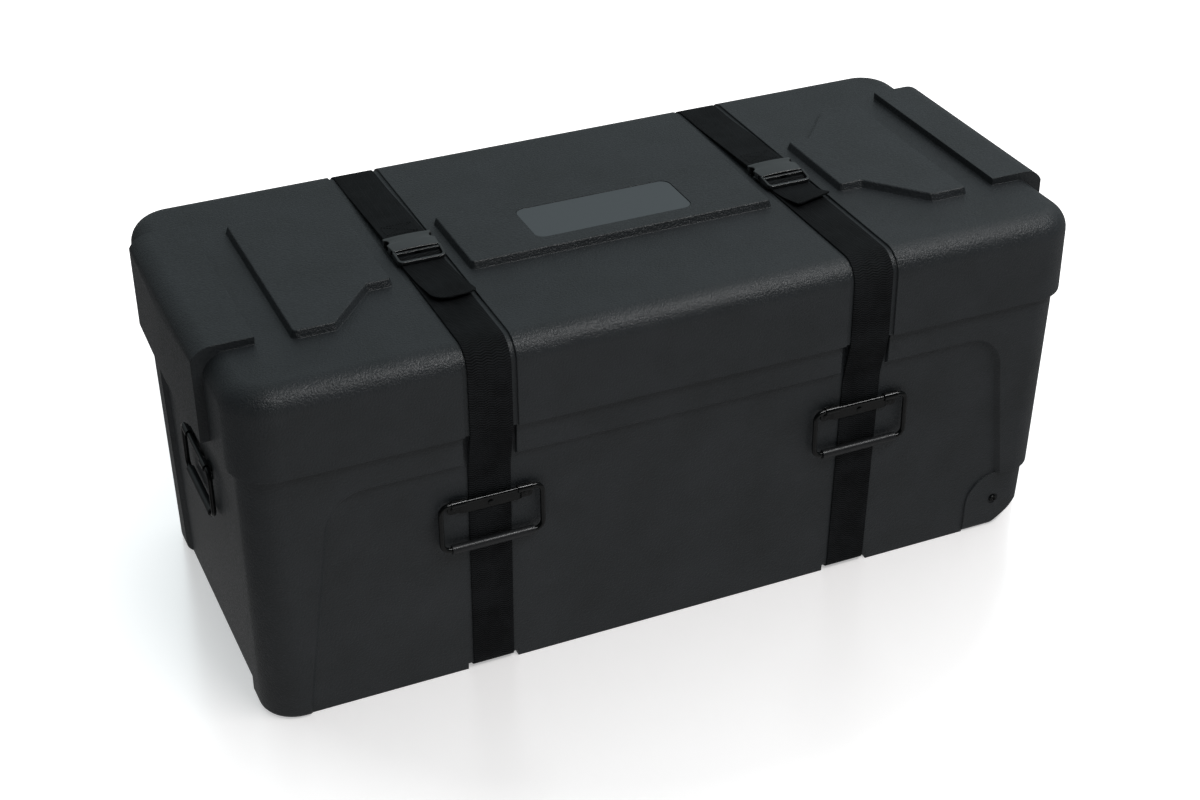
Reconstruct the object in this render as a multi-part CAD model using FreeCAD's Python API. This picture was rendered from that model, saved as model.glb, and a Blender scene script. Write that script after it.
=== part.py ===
import FreeCAD, Part
import math
import os

from FreeCAD import Vector

# A long moulded case for drum hardware: a tapered base on two wheels, a deep lift-off lid,
# two webbing straps with side-release buckles and three bail handles.
# X runs along the case, the front is -Y, Z is up, and the origin is under the middle of the base.
# Lengths are in millimetres.

# Lid
lid_length = 1024.0
lid_depth = 480.0
lid_height = 105.0
lid_wall = 6.0
lid_top_wall = 9.0
lid_corner_radius = 50.0
lid_edge_radius = 28.0
lid_hollow_radius = 20.0
lid_ledge = 8.0
lid_fit = 1.5

# Base, with how far each end and each side leans out from foot to rim
base_height = 334.0
end_draft = 2.5
side_draft = 13.0
foot_edge_radius = 8.0
base_wall = 6.0
floor_wall = 9.0
lip_height = 40.0

# Recessed panels in the sides of the base, with a slanted step and proud bands round them
panel_recess = 6.0
step_width = 5.0
rim_band = 44.0
side_band_foot = 51.0
side_band_head = 91.4
end_band_foot = 72.0
end_band_head = 69.5
panel_corner_radius = 45.0

# Raised pads on the lid: one between the straps, one outside each strap, one over each end
pad_rise = 9.0
pad_draft = 3.0
pad_edge_radius = 2.0
pad_corner_radius = 4.0
plate_pad_margin = 15.0
plate_pad_depth = 122.0
plate_pad_shift = -11.0
side_pad_offset = 50.0
side_pad_margin = 100.0
side_pad_notch = 28.0
side_pad_shoulder = 45.0
side_pad_waist = 131.0
side_pad_shift = -5.0
side_pad_depth = 266.0
saddle_reach = 59.0
saddle_depth = 280.0
saddle_shift = 7.0
saddle_proud = 14.0
saddle_radius = 27.0
saddle_fall = 3.0

# Bare plate where a badge would be
plate_length = 196.0
plate_depth = 76.0
plate_thickness = 1.0
plate_corner_radius = 12.0
plate_recess = 1.5
plate_fit = 0.5

# Webbing and the channels that it runs in
strap_inset = 280.0
webbing_width = 50.0
webbing_thickness = 1.8
webbing_gap = 0.3
channel_width = 62.0
lid_channel_depth = 2.5
floor_channel_depth = 4.0
bridge_drop = 54.0
bridge_radius = 60.0
sewn_length = 30.0
rear_rise = 150.0

# Side-release buckle, laid flat on the lid
buckle_width = 58.0
buckle_thickness = 11.0
buckle_rear = 18.0
bar_radius = 2.0
arm_width = 3.4
arm_thickness = 5.0
arm_length = 6.0
socket_length = 25.0
socket_wall = 2.6
window_length = 14.0
window_offset = 6.0
mouth_gap = 0.4
collar_length = 4.0
frame_length = 20.0
frame_bar_width = 4.0
frame_bar_thickness = 3.0
guide_width = 8.0
guide_length = 18.0
prong_width = 4.0
prong_length = 18.5
prong_root_spacing = 40.0
prong_head_width = 4.6
prong_head_length = 9.0
prong_fit = 0.5
buckle_edge_radius = 1.2

# Free end of the webbing beyond each buckle
left_tail_length = 103.0
right_tail_length = 57.0
tail_end_radius = 14.0
tail_lift = 5.0

# Bail handles
handle_drop = 45.0
wire_radius = 3.0
bail_width = 120.0
bail_drop = 59.0
bail_corner_radius = 9.0
bail_stand_off = 6.2
grip_length = 98.0
grip_radius = 5.2
grip_ridge_width = 3.0
grip_ridge_depth = 2.2
grip_fit = 0.05
knuckle_wall = 1.5
knuckle_fit = 0.08
knuckle_width = 17.0
knuckle_spacing = 78.0
bracket_length = 100.0
bracket_height = 12.0
bracket_thickness = 1.5
bracket_foot = 12.0
bracket_ramp = 4.0
bracket_clearance = 0.3
bracket_corner_radius = 3.0
rivet_spacing = 43.0
rivet_radius = 2.0
rivet_head_radius = 3.6
rivet_head_height = 1.6
rivet_fit = 0.15
backing_length = 104.0
backing_height = 16.0
backing_thickness = 1.5

# Wheels, in pockets at the lower corners of the right end
axle_height = 42.0
axle_inset = 60.0
wheel_radius = 32.0
wheel_width = 22.0
wheel_edge_radius = 4.0
tyre_thickness = 9.0
hub_bore_fit = 0.06
hub_seat_fit = 0.05
hub_recess = 3.0
hub_boss_radius = 9.0
pocket_clearance = 4.0
pocket_wall = 4.0
pocket_width = 30.0
pocket_skin = 5.0
corner_proud = 2.0
bevel_run = 63.0
bevel_rise = 45.0
axle_radius = 4.0
axle_fit = 0.1
head_radius = 5.3
head_height = 3.0
seat_radius = 7.0
seat_depth = 1.0
socket_radius = 2.5
socket_depth = 1.8
nut_width = 13.0
nut_thickness = 6.5
axle_tail = 2.0
washer_radius = 8.0

# Cuts and joined blocks run past the faces that they meet by this much
overrun = 20.0

# Sizes that follow
half_lid_length = lid_length / 2
half_lid_depth = lid_depth / 2
half_rim_length = half_lid_length - lid_wall - lid_fit
half_rim_depth = half_lid_depth - lid_wall - lid_fit
half_foot_length = half_rim_length - end_draft
half_foot_depth = half_rim_depth - side_draft
rim_corner_radius = lid_corner_radius - lid_wall - lid_fit
lid_top = base_height + lid_height
body_wall = panel_recess + base_wall
panel_top = base_height - rim_band
half_channel = channel_width / 2
half_strap_spacing = half_lid_length - strap_inset
side_pad_inner = half_strap_spacing + side_pad_offset
side_pad_outer = half_lid_length - side_pad_margin
saddle_inner = half_lid_length - saddle_reach
webbing_lift = webbing_gap + webbing_thickness / 2
axle_x = half_foot_length - axle_inset
housing_radius = wheel_radius + pocket_clearance + pocket_wall
corner_inset = panel_recess - corner_proud

# Heights in the buckle, above the lid
run_height = lid_top - lid_channel_depth + webbing_lift
bar_height = run_height + webbing_thickness / 2 + webbing_gap + bar_radius
loop_radius = bar_radius + webbing_gap + webbing_thickness / 2
buckle_floor = run_height + webbing_thickness / 2 + webbing_gap
tail_height = run_height + webbing_thickness + webbing_gap
socket_front = buckle_rear - bar_radius - arm_length - socket_length
inner_bar = socket_front - mouth_gap - collar_length - loop_radius - webbing_lift
front_bar = socket_front - mouth_gap - frame_length


def side_half_depth(z):
    """Half the depth of the base, over its proud bands, at height z."""
    return half_foot_depth + side_draft * z / base_height


def end_half_length(z):
    """Half the length of the base, over its proud bands, at height z."""
    return half_foot_length + end_draft * z / base_height


def unit(a, b):
    """Direction from plane point a to plane point b."""
    length = math.hypot(b[0] - a[0], b[1] - a[1])
    return ((b[0] - a[0]) / length, (b[1] - a[1]) / length)


def corner_arc(before, corner, after, radius):
    """Start, middle and end of the arc that rounds one corner of an outline."""
    back = unit(corner, before)
    ahead = unit(corner, after)
    half_angle = math.acos(max(-1, min(1, back[0] * ahead[0] + back[1] * ahead[1]))) / 2
    reach = radius / math.tan(half_angle)
    middle = unit((0, 0), (back[0] + ahead[0], back[1] + ahead[1]))
    sagitta = radius / math.sin(half_angle) - radius
    return [
        (corner[0] + back[0] * reach, corner[1] + back[1] * reach),
        (corner[0] + middle[0] * sagitta, corner[1] + middle[1] * sagitta),
        (corner[0] + ahead[0] * reach, corner[1] + ahead[1] * reach),
    ]


def outline_face(points, radii, to_space):
    """Flat face with straight sides and rounded corners."""
    arcs = []
    for index, corner in enumerate(points):
        if radii[index] > 0:
            after = points[(index + 1) % len(points)]
            arcs.append(corner_arc(points[index - 1], corner, after, radii[index]))
        else:
            arcs.append([corner])
    edges = []
    for index, arc in enumerate(arcs):
        spots = [to_space(*spot) for spot in arc]
        if len(spots) > 1:
            edges.append(Part.Arc(*spots).toShape())
        following = to_space(*arcs[(index + 1) % len(arcs)][0])
        if spots[-1].distanceToPoint(following) > overrun * 1e-6:
            edges.append(Part.LineSegment(spots[-1], following).toShape())
    return Part.Face(Part.Wire(edges))


def rounded_rectangle(length, depth, radius, z):
    """Rectangle with round corners, centred on the Z axis."""
    x = length / 2
    y = depth / 2
    corners = [(-x, -y), (x, -y), (x, y), (-x, y)]
    return outline_face(corners, [radius] * len(corners), lambda a, b: Vector(a, b, z))


def block(x0, x1, y0, y1, z0, z1):
    """Box between two corners."""
    return Part.makeBox(x1 - x0, y1 - y0, z1 - z0, Vector(x0, y0, z0))


def offset_path(points, radii, distance):
    """Path beside a bent path, with its bends eased or tightened to match."""
    moved = []
    moved_radii = []
    for index, point in enumerate(points):
        ahead = unit(point, points[index + 1]) if index + 1 < len(points) else None
        back = unit(points[index - 1], point) if index > 0 else ahead
        ahead = ahead or back
        normal = (-back[1] - ahead[1], back[0] + ahead[0])
        share = distance / (1 + back[0] * ahead[0] + back[1] * ahead[1])
        moved.append((point[0] + normal[0] * share, point[1] + normal[1] * share))
        turn = back[0] * ahead[1] - back[1] * ahead[0]
        moved_radii.append(radii[index] - distance * math.copysign(1, turn) if radii[index] > 0 else 0)
    return moved, moved_radii


def webbing(points, radii, x):
    """Flat webbing along a path in the YZ plane, centred on x."""
    left, left_radii = offset_path(points, radii, webbing_thickness / 2)
    right, right_radii = offset_path(points, radii, -webbing_thickness / 2)
    side = x - webbing_width / 2
    face = outline_face(left + right[::-1], left_radii + right_radii[::-1], lambda a, b: Vector(side, a, b))
    return face.extrude(Vector(webbing_width, 0, 0))


def mirrored_y(shape):
    """The same piece on the other long side."""
    return shape.mirror(Vector(0, 0, 0), Vector(0, 1, 0))


def mirrored_x(shape):
    """The same piece at the other end."""
    return shape.mirror(Vector(0, 0, 0), Vector(1, 0, 0))


def frame_at(origin, across, up, out):
    """Placement that lays X, Y and Z along three given directions at a point."""
    return FreeCAD.Placement(FreeCAD.Matrix(
        across.x, up.x, out.x, origin.x,
        across.y, up.y, out.y, origin.y,
        across.z, up.z, out.z, origin.z,
        0, 0, 0, 1,
    ))


def placed(shape, placement):
    """The shape moved rigidly to its place."""
    moved = shape.copy()
    moved.Placement = placement
    return moved


def base_body(inset, bottom, top, edge_radius):
    """Tapered body of the base with round corners, drawn in from its outer bands by an inset."""
    def wedge(low_half, high_half, to_space, along):
        points = [(-low_half, bottom), (low_half, bottom), (high_half, top), (-high_half, top)]
        return outline_face(points, [0] * len(points), to_space).extrude(along)

    ends = wedge(
        end_half_length(bottom) - inset, end_half_length(top) - inset,
        lambda a, b: Vector(a, -half_lid_depth, b), Vector(0, lid_depth, 0))
    sides = wedge(
        side_half_depth(bottom) - inset, side_half_depth(top) - inset,
        lambda a, b: Vector(-half_lid_length, a, b), Vector(lid_length, 0, 0))
    body = ends.common(sides)
    upright = [edge for edge in body.Edges if edge.BoundBox.ZLength > (top - bottom) / 2]
    body = body.makeFillet(rim_corner_radius - inset, upright)
    low = [edge for edge in body.Edges if edge.BoundBox.ZMax < bottom + edge_radius / 2]
    return body.makeFillet(edge_radius, low)


def rim_raised(body, rise):
    """Upright block that stands on the flat top of a body, with the same outline."""
    return max(body.Faces, key=lambda face: face.BoundBox.ZMin).extrude(Vector(0, 0, rise))


def panel_frame(end, height):
    """Frame on a recessed panel, front or left end: X across, Y up the panel, Z outwards."""
    if end:
        taper = math.atan2(end_draft, base_height)
        origin = Vector(panel_recess - end_half_length(height), 0, height)
        up = Vector(-math.sin(taper), 0, math.cos(taper))
        return frame_at(origin, Vector(0, -1, 0), up, Vector(0, -1, 0).cross(up))
    taper = math.atan2(side_draft, base_height)
    origin = Vector(0, panel_recess - side_half_depth(height), height)
    up = Vector(0, -math.sin(taper), math.cos(taper))
    return frame_at(origin, Vector(1, 0, 0), up, Vector(1, 0, 0).cross(up))


def recess(end):
    """Space in front of a recessed panel, with a slanted step round its sides and top."""
    if end:
        foot = half_foot_depth - end_band_foot
        head = side_half_depth(panel_top) - end_band_head
    else:
        foot = half_foot_length - side_band_foot
        head = end_half_length(panel_top) - side_band_head

    def outline(spread, out):
        low = -overrun
        top = panel_top + spread
        low_half = foot + (head - foot) * low / panel_top + spread
        top_half = foot + (head - foot) * top / panel_top + spread
        points = [(-low_half, low), (low_half, low), (top_half, top), (-top_half, top)]
        corner = panel_corner_radius + spread
        return outline_face(points, [0, 0, corner, corner], lambda a, b: Vector(a, b, out)).OuterWire

    space = Part.makeLoft([outline(0, 0), outline(2 * step_width, 2 * panel_recess)], True, True)
    return placed(space, panel_frame(end, 0))


def wheel_outline(radius, y0, y1):
    """Wheel pocket form: round over the axle, open to the end and to the floor."""
    far = half_lid_length + overrun
    outline = [
        (axle_x - radius, -overrun),
        (far, -overrun),
        (far, axle_height + radius),
        (axle_x - radius, axle_height + radius),
    ]
    face = outline_face(outline, [0, 0, 0, radius], lambda a, b: Vector(a, y0, b))
    return face.extrude(Vector(0, y1 - y0, 0))


pocket_front = -(side_half_depth(0) - corner_inset - pocket_skin)
pocket_back = pocket_front + pocket_width
wheel_y = (pocket_front + pocket_back) / 2
seat_y = -(side_half_depth(axle_height) - corner_inset - seat_depth)


def bevel():
    """Slanted cut that bares the front wheel when the case is tipped on its end."""
    slope = bevel_rise / bevel_run
    start = half_foot_length - bevel_run
    far = half_lid_length + overrun
    outline = [
        (start - overrun, -overrun * slope),
        (far, (far - start) * slope),
        (far, -overrun * slope),
    ]
    face = outline_face(outline, [0] * len(outline), lambda a, b: Vector(a, -half_lid_depth, b))
    return face.extrude(Vector(0, half_lid_depth + pocket_back, 0))


def axle_holes():
    """Through hole of the front axle and the flat seat of its head."""
    far = -half_lid_depth
    hole = Part.makeCylinder(
        axle_radius + axle_fit, -far, Vector(axle_x, far, axle_height), Vector(0, 1, 0))
    seat = Part.makeCylinder(seat_radius, seat_y - far, Vector(axle_x, far, axle_height), Vector(0, 1, 0))
    return hole.common(block(0, half_lid_length, far, pocket_back + overrun, 0, base_height)).fuse(seat)


def base_channel(x):
    """Channel of one strap: down the front, under the floor and up the back of the base."""
    low = floor_channel_depth
    inner = [
        (-side_half_depth(low) + panel_recess, low),
        (side_half_depth(low) - panel_recess, low),
        (side_half_depth(base_height) - panel_recess, base_height),
        (-side_half_depth(base_height) + panel_recess, base_height),
    ]
    radii = [foot_edge_radius, foot_edge_radius, 0, 0]
    side = x - half_channel
    core = outline_face(inner, radii, lambda a, b: Vector(side, a, b)).extrude(Vector(channel_width, 0, 0))
    whole = block(side, side + channel_width, -half_lid_depth, half_lid_depth, -overrun, base_height)
    return whole.cut(core)


def handle_frames():
    """Frame of each handle on its panel: X across, Y up the panel, Z outwards."""
    height = panel_top - handle_drop
    frames = {}
    for name, x in (("left_handle", -half_strap_spacing), ("right_handle", half_strap_spacing)):
        frame = panel_frame(False, height)
        frame.Base = frame.Base + Vector(x, 0, 0)
        frames[name] = frame
    frames["end_handle"] = panel_frame(True, height)
    return frames


rivet_drop = wire_radius + knuckle_wall + bracket_height / 2
rivet_places = (-rivet_spacing, 0, rivet_spacing)


def rivet_holes():
    """Holes of one handle's three rivets, in the handle's own frame."""
    holes = []
    for x in rivet_places:
        start = Vector(x, -rivet_drop, -body_wall)
        holes.append(Part.makeCylinder(rivet_radius + rivet_fit, body_wall + overrun, start))
    return Part.makeCompound(holes)


def make_base_shell(frames):
    """Tapered moulded base with panels, strap channels, wheel pockets and the lip for the lid."""
    body = base_body(0, 0, base_height, foot_edge_radius)
    lip = rim_raised(body, lip_height)
    front_corner = wheel_outline(housing_radius, -half_lid_depth, pocket_back)
    inset_body = base_body(corner_inset, 0, base_height, foot_edge_radius)
    corners = [front_corner, mirrored_y(front_corner)]
    for corner in corners:
        body = body.cut(corner.cut(inset_body))
    side = recess(False).cut(corners[0])
    body = body.cut(side).cut(mirrored_y(side))
    body = body.cut(recess(True))
    body = body.fuse(lip)
    hollow = base_body(body_wall, floor_wall, base_height, foot_edge_radius - base_wall)
    shell = body.cut(hollow.fuse(rim_raised(hollow, lip_height + overrun)))
    housing = wheel_outline(housing_radius, -half_lid_depth, pocket_back + pocket_wall).common(body)
    pocket = wheel_outline(housing_radius - pocket_wall, pocket_front, pocket_back)
    for mirrored in (False, True):
        pieces = [housing, pocket, bevel(), axle_holes()]
        if mirrored:
            pieces = [mirrored_y(piece) for piece in pieces]
        shell = shell.fuse(pieces[0])
        for cut in pieces[1:]:
            shell = shell.cut(cut)
    for x in (-half_strap_spacing, half_strap_spacing):
        shell = shell.cut(base_channel(x))
    for frame in frames.values():
        shell = shell.cut(placed(rivet_holes(), frame))
    return shell.removeSplitter()


def lid_channel(x):
    """Shallow channel of one strap over the front, top and back of the lid."""
    y = half_lid_depth - lid_channel_depth
    top = lid_top - lid_channel_depth
    radius = lid_edge_radius - lid_channel_depth
    side = x - half_channel
    low = base_height - overrun
    inner = [(-y, low), (y, low), (y, top), (-y, top)]
    core = outline_face(inner, [0, 0, radius, radius], lambda a, b: Vector(side, a, b))
    whole = block(side, side + channel_width, -half_lid_depth - overrun, half_lid_depth + overrun,
                  low, lid_top + overrun)
    return whole.cut(core.extrude(Vector(channel_width, 0, 0)))


def raised_pad(points, corner_radius):
    """Pad that stands on the lid's top, with drafted sides and its upper edge rounded."""
    crown = lid_top + pad_rise
    head = outline_face(points, [corner_radius] * len(points), lambda a, b: Vector(a, b, crown))
    foot = head.makeOffset2D(pad_draft)
    foot.translate(Vector(0, 0, -pad_rise))
    pad = Part.makeLoft([foot.OuterWire, head.OuterWire], True, True)
    root = foot.extrude(Vector(0, 0, -lid_top_wall / 2))
    pad = pad.fuse(root).removeSplitter()
    top = crown - pad_edge_radius / 2
    return pad.makeFillet(pad_edge_radius, [edge for edge in pad.Edges if edge.BoundBox.ZMin > top])


def side_pad():
    """Eight-sided pad beside the left strap."""
    waist = side_pad_waist / 2
    deep = side_pad_depth / 2
    shoulder = side_pad_outer - side_pad_shoulder
    notch = side_pad_inner + side_pad_notch
    points = [
        (-side_pad_outer, -deep),
        (-shoulder, -deep),
        (-notch, -waist),
        (-side_pad_inner, -waist),
        (-side_pad_inner, waist),
        (-notch, waist),
        (-shoulder, deep),
        (-side_pad_outer, deep),
    ]
    points = [(x, y + side_pad_shift) for x, y in points]
    return raised_pad(points, pad_corner_radius)


def plate_pad():
    """Long pad in the middle of the lid, with the shallow seat of the bare plate."""
    x = half_strap_spacing - half_channel - plate_pad_margin
    front = plate_pad_shift - plate_pad_depth / 2
    back = plate_pad_shift + plate_pad_depth / 2
    pad = raised_pad([(-x, front), (x, front), (x, back), (-x, back)], pad_corner_radius)
    seat = rounded_rectangle(
        plate_length + 2 * plate_fit, plate_depth + 2 * plate_fit, plate_corner_radius + plate_fit,
        lid_top + pad_rise - plate_recess)
    seat.translate(Vector(0, plate_pad_shift, 0))
    return pad.cut(seat.extrude(Vector(0, 0, overrun)))


def saddle(lid_body):
    """Pad that runs over the left end of the lid, from its top down to its rim."""
    end = half_lid_length + saddle_proud
    top = lid_top + pad_rise
    profile = [
        (-saddle_inner, base_height),
        (-saddle_inner, top),
        (-end, top),
        (-end, base_height),
    ]
    front = saddle_shift - saddle_depth / 2
    face = outline_face(profile, [0, 0, saddle_radius, 0], lambda a, b: Vector(a, front, b))
    pad = face.extrude(Vector(0, saddle_depth, 0))
    roof = [
        (-saddle_inner, front),
        (-end + saddle_fall, front),
        (-end, saddle_shift),
        (-end + saddle_fall, front + saddle_depth),
        (-saddle_inner, front + saddle_depth),
    ]
    plan = outline_face(roof, [0] * len(roof), lambda a, b: Vector(a, b, base_height))
    pad = pad.common(plan.extrude(Vector(0, 0, lid_height + pad_rise)))
    return pad.cut(lid_body)


def make_lid_shell():
    """Deep lid with rounded edges, raised pads, strap channels and the ledge that it rests on."""
    face = rounded_rectangle(lid_length, lid_depth, lid_corner_radius, base_height)
    body = face.extrude(Vector(0, 0, lid_height))
    top = [edge for edge in body.Edges if edge.BoundBox.ZMin > lid_top - lid_top_wall]
    body = body.makeFillet(lid_edge_radius, top)
    left_saddle = saddle(body)
    for piece in (left_saddle, mirrored_x(left_saddle), side_pad(), mirrored_x(side_pad()), plate_pad()):
        body = body.fuse(piece)
    for x in (-half_strap_spacing, half_strap_spacing):
        body = body.cut(lid_channel(x))
    socket = rounded_rectangle(
        lid_length - 2 * lid_wall, lid_depth - 2 * lid_wall, lid_corner_radius - lid_wall,
        base_height - overrun)
    body = body.cut(socket.extrude(Vector(0, 0, lip_height + overrun)))
    inset = lid_wall + lid_ledge
    hollow_face = rounded_rectangle(
        lid_length - 2 * inset, lid_depth - 2 * inset, lid_corner_radius - inset, base_height)
    hollow = hollow_face.extrude(Vector(0, 0, lid_height - lid_top_wall))
    roof = [edge for edge in hollow.Edges if edge.BoundBox.ZMin > lid_top - lid_top_wall - lid_ledge]
    hollow = hollow.makeFillet(lid_hollow_radius, roof)
    return body.cut(hollow).removeSplitter()


def make_label_plate():
    """Bare plate with round corners, glued into the middle pad."""
    bottom = lid_top + pad_rise - plate_recess
    face = rounded_rectangle(plate_length, plate_depth, plate_corner_radius, bottom)
    face.translate(Vector(0, plate_pad_shift, 0))
    return face.extrude(Vector(0, 0, plate_thickness))


def make_base_webbing(x):
    """Lower part of a strap: from the lid's rim at the front, under the base, to the back."""
    wall = half_lid_depth - lid_channel_depth + webbing_lift
    seam = base_height - webbing_gap / 2
    bend = base_height - bridge_drop
    foot = floor_channel_depth - webbing_lift
    panel_high = side_half_depth(bend) - panel_recess + webbing_lift
    panel_low = side_half_depth(foot) - panel_recess + webbing_lift
    points = [
        (-wall, seam), (-panel_high, bend), (-panel_low, foot),
        (panel_low, foot), (panel_high, bend), (wall, seam),
    ]
    corner = foot_edge_radius + webbing_lift
    strap = webbing(points, [0, bridge_radius, corner, corner, bridge_radius, 0], x)
    return strap


def make_rear_webbing(x):
    """Upper rear part of a strap: up to the buckle, down round its rear bar and sewn on under itself."""
    wall = half_lid_depth - lid_channel_depth + webbing_lift
    seam = base_height + webbing_gap / 2
    fold = buckle_rear - loop_radius
    back = buckle_rear + loop_radius
    over = bar_height + loop_radius
    start = buckle_rear + rear_rise
    join = back + 3 * loop_radius
    end = join + sewn_length
    corner = lid_edge_radius - lid_channel_depth + webbing_lift

    def under(y):
        share = (start - y) / (start - back)
        return run_height + (over - run_height) * share - webbing_thickness - webbing_gap

    points = [
        (wall, seam), (wall, run_height), (start, run_height), (back, over), (fold, over),
        (fold, run_height), (back, run_height), (join, under(join)), (end, under(end)),
    ]
    radii = [0, corner, bridge_radius, 0, loop_radius, loop_radius, loop_radius, loop_radius, 0]
    return webbing(points, radii, x)


def make_front_webbing(x, tail_length):
    """Upper front part of a strap: up round the frame's inner bar and out under its front bar."""
    wall = half_lid_depth - lid_channel_depth + webbing_lift
    seam = base_height + webbing_gap / 2
    fold = inner_bar + loop_radius
    over = bar_height + loop_radius
    second = tail_height
    down = inner_bar - webbing_lift
    flat = down - loop_radius - webbing_thickness
    end = flat - tail_length
    corner = lid_edge_radius - lid_channel_depth + webbing_lift
    points = [
        (-wall, seam), (-wall, run_height), (fold, run_height), (fold, over),
        (down, over), (flat, second), ((flat + end) / 2, second), (end, second + tail_lift),
    ]
    radii = [0, corner, loop_radius, loop_radius, loop_radius, loop_radius, bridge_radius, 0]
    strap = webbing(points, radii, x)
    side = webbing_width / 2
    trim = [
        (x - side, end), (x + side, end), (x + side, end + 2 * tail_end_radius),
        (x + side + overrun, end + 2 * tail_end_radius), (x + side + overrun, end - overrun),
        (x - side - overrun, end - overrun), (x - side - overrun, end + 2 * tail_end_radius),
        (x - side, end + 2 * tail_end_radius),
    ]
    radii = [tail_end_radius, tail_end_radius, 0, 0, 0, 0, 0, 0]
    low = second - webbing_thickness / 2 - webbing_gap / 2
    cutter = outline_face(trim, radii, lambda a, b: Vector(a, b, low))
    return strap.cut(cutter.extrude(Vector(0, 0, overrun)))


def make_buckle_socket(x):
    """Socket half of the buckle: a flat sleeve with side windows, and a rear bar under its back edge."""
    half = buckle_width / 2
    front = socket_front
    back = front + socket_length
    top = buckle_floor + buckle_thickness
    body = block(-half, half, front, back, buckle_floor, top)
    body = body.makeFillet(buckle_edge_radius, body.Edges)
    inner = half - socket_wall
    hollow = block(-inner, inner, front - overrun, back - socket_wall,
                   buckle_floor + socket_wall, top - socket_wall)
    window_start = front + window_offset
    window = block(-half - overrun, half + overrun, window_start, window_start + window_length,
                   buckle_floor + socket_wall, top - socket_wall)
    body = body.cut(hollow).cut(window)
    for side in (-1, 1):
        outer = side * half
        arm_inner = outer - side * arm_width
        arm = block(min(outer, arm_inner), max(outer, arm_inner), back - socket_wall,
                    buckle_rear + bar_radius, buckle_floor, top)
        body = body.fuse(arm)
    roof = block(-half, half, back - socket_wall, buckle_rear + bar_radius, top - socket_wall, top)
    body = body.fuse(roof)
    reach = half - arm_width / 2
    bar = Part.makeCylinder(
        bar_radius, 2 * reach, Vector(-reach, buckle_rear, bar_height), Vector(1, 0, 0))
    body = body.fuse(bar)
    body.translate(Vector(x, 0, 0))
    return body


prong_low = buckle_floor + socket_wall + prong_fit
prong_high = buckle_floor + buckle_thickness - socket_wall - prong_fit
collar_front = socket_front - mouth_gap - collar_length


def make_buckle_frame(x):
    """Plug half of the buckle: collar, middle guide and the open frame that grips the webbing."""
    half = buckle_width / 2
    collar = block(-half + socket_wall, half - socket_wall, collar_front, socket_front - mouth_gap,
                   buckle_floor + frame_bar_thickness, buckle_floor + buckle_thickness)
    guide = block(-guide_width / 2, guide_width / 2, collar_front, socket_front + guide_length,
                  prong_low, prong_high)
    body = collar.fuse(guide)
    for side in (-1, 1):
        outer = side * half
        arm_inner = outer - side * arm_width
        arm = block(min(outer, arm_inner), max(outer, arm_inner), front_bar - frame_bar_width / 2,
                    socket_front - mouth_gap, buckle_floor, buckle_floor + arm_thickness)
        body = body.fuse(arm)
    reach = half - arm_width / 2
    bar = Part.makeCylinder(bar_radius, 2 * reach, Vector(-reach, inner_bar, bar_height), Vector(1, 0, 0))
    grip_floor = tail_height + webbing_thickness / 2 + webbing_gap
    front = block(-reach, reach, front_bar - frame_bar_width / 2, front_bar + frame_bar_width / 2,
                  grip_floor, grip_floor + frame_bar_thickness)
    body = body.fuse(bar).fuse(front)
    body.translate(Vector(x, 0, 0))
    return body


def make_buckle_prong(x, side):
    """One springy side prong, whose head shows in the socket's window."""
    root = prong_root_spacing / 2
    start = socket_front
    end = start + prong_length
    outer = buckle_width / 2 - prong_fit
    head = window_length - 2 * prong_fit
    head_start = socket_front + window_offset + prong_fit
    lean = root + prong_width / 2
    points = [
        (root - prong_width / 2, start),
        (lean, start),
        (lean + prong_head_width / 2, head_start),
        (outer, head_start),
        (outer, head_start + prong_head_length),
        (lean, head_start + head),
        (root - prong_width / 2, end),
    ]
    face = outline_face(points, [0] * len(points), lambda a, b: Vector(a, b, prong_low))
    prong = face.extrude(Vector(0, 0, prong_high - prong_low))
    if side < 0:
        prong = mirrored_x(prong)
    prong.translate(Vector(x, 0, 0))
    return prong


def make_bracket():
    """Pressed steel strip that holds the handle's wire in two knuckles, stepped over the webbing."""
    half = bracket_length / 2
    foot = half - bracket_foot
    ramp = foot - bracket_ramp
    rise = webbing_gap + webbing_thickness + bracket_clearance
    steel = bracket_thickness
    lower = [(-half, 0), (-foot, 0), (-ramp, rise), (ramp, rise), (foot, 0), (half, 0)]
    upper = [(half, steel), (foot, steel), (ramp, rise + steel), (-ramp, rise + steel), (-foot, steel),
             (-half, steel)]
    top = -(wire_radius + knuckle_wall)
    low = top - bracket_height
    outline = lower + upper
    face = outline_face(outline, [0] * len(outline), lambda a, b: Vector(a, low, b))
    strip = face.extrude(Vector(0, bracket_height, 0))
    plan = [(-half, low), (half, low), (half, top), (-half, top)]
    radii = [bracket_corner_radius, bracket_corner_radius, 0, 0]
    trim = outline_face(plan, radii, lambda a, b: Vector(a, b, -overrun)).extrude(Vector(0, 0, 2 * overrun))
    body = strip.common(trim)
    knuckle_radius = wire_radius + knuckle_fit + knuckle_wall
    for side in (-1, 1):
        start = side * knuckle_spacing / 2 - knuckle_width / 2
        barrel = Part.makeCylinder(
            knuckle_radius, knuckle_width, Vector(start, 0, bail_stand_off), Vector(1, 0, 0))
        web = block(start, start + knuckle_width, top - knuckle_wall, 0, 0, bail_stand_off - wire_radius)
        body = body.fuse(barrel).fuse(web)
    bore = Part.makeCylinder(
        wire_radius + knuckle_fit, bracket_length, Vector(-half, 0, bail_stand_off), Vector(1, 0, 0))
    return body.cut(bore).cut(rivet_holes())


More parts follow.
